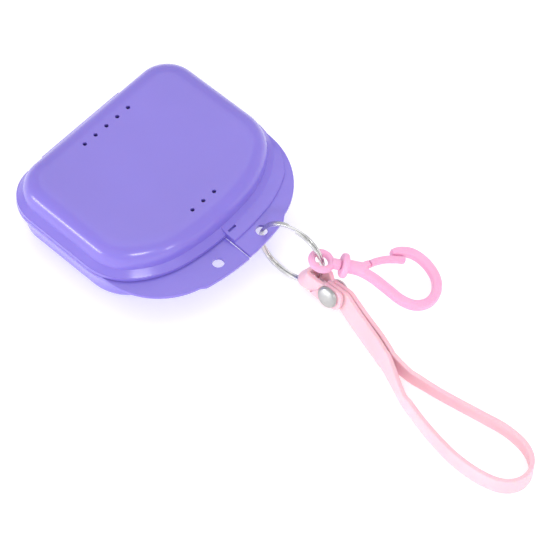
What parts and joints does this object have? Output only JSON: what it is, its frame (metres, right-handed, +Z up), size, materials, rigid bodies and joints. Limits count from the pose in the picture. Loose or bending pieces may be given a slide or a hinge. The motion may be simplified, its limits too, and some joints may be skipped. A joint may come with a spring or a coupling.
{
  "type": "mouthguard with case",
  "caption": "Slim vented mouthguard case with front tabs, a mouthguard inside, and a split ring carrying a snap hook and a riveted wrist strap.",
  "frame": {"origin": "on the flat underside of the case base, midway between its sides and 34 mm in front of its rear wall", "axes": "+X along the case's hinge towards the lid's tab, -Y towards the front tabs, ring, hook and strap, +Z up through the lid"},
  "size_m": [0.0872, 0.2046, 0.0281],
  "materials": {
    "base_shell": "smooth glossy violet polypropylene",
    "lid_shell": "smooth glossy violet polypropylene",
    "guard": "soft milky EVA",
    "ring": "bright nickel-plated steel",
    "eye": "satin pink acetal",
    "hook": "satin pink acetal",
    "gate": "satin pink acetal",
    "strap": "matt pale pink silicone",
    "rivet": "satin nickel-plated steel",
    "rivet_washer": "satin nickel-plated steel"
  },
  "bodies": {
    "base": {"case_base": "base_shell"},
    "lid": {"case_lid": "lid_shell"},
    "guard": {"mouthguard": "guard"},
    "ring": {"split_ring": "ring"},
    "eye": {"hook_eye": "eye"},
    "hook": {"hook_body": "hook"},
    "gate": {"hook_gate": "gate"},
    "strap": {"wrist_strap": "strap", "rivet_cap": "rivet", "rivet_back": "rivet_washer"}
  },
  "joints": [
    {"name": "lid_hinge", "type": "hinge", "parent": "base", "child": "lid", "pos_m": [0, 0.0349, 0.0126], "axis": [-1, 0, 0], "range_deg": [0, 170]},
    {"name": "mouthguard_lift", "type": "slide", "parent": "base", "child": "guard", "axis": [0, 0, 1], "range_m": [0, 0.007]},
    {"name": "ring_swing", "type": "hinge", "parent": "lid", "child": "ring", "pos_m": [0.01042, -0.03949, 0.01626], "axis": [-0.983, -0.172, 0.064], "range_deg": [-30, 40]},
    {"name": "hook_swing", "type": "hinge", "parent": "ring", "child": "eye", "pos_m": [0.01459, -0.06294, 0.01742], "axis": [0.0099, 0.2986, 0.9543], "range_deg": [-4, 40]},
    {"name": "hook_swivel", "type": "hinge", "parent": "eye", "child": "hook", "pos_m": [0.01906, -0.06772, 0.01524], "axis": [0.6471, -0.694, -0.3157], "continuous": true},
    {"name": "gate_flex", "type": "hinge", "parent": "hook", "child": "gate", "pos_m": [0.02717, -0.07275, 0.01218], "axis": [-0.2153, 0.2308, -0.9489], "range_deg": [0, 15], "stiffness_Nm_per_rad": 0.004},
    {"name": "strap_swing", "type": "hinge", "parent": "ring", "child": "strap", "pos_m": [0.0137, -0.06162, 0.00715], "axis": [0.1467, -0.5272, 0.837], "range_deg": [-8, 4]}
  ]
}
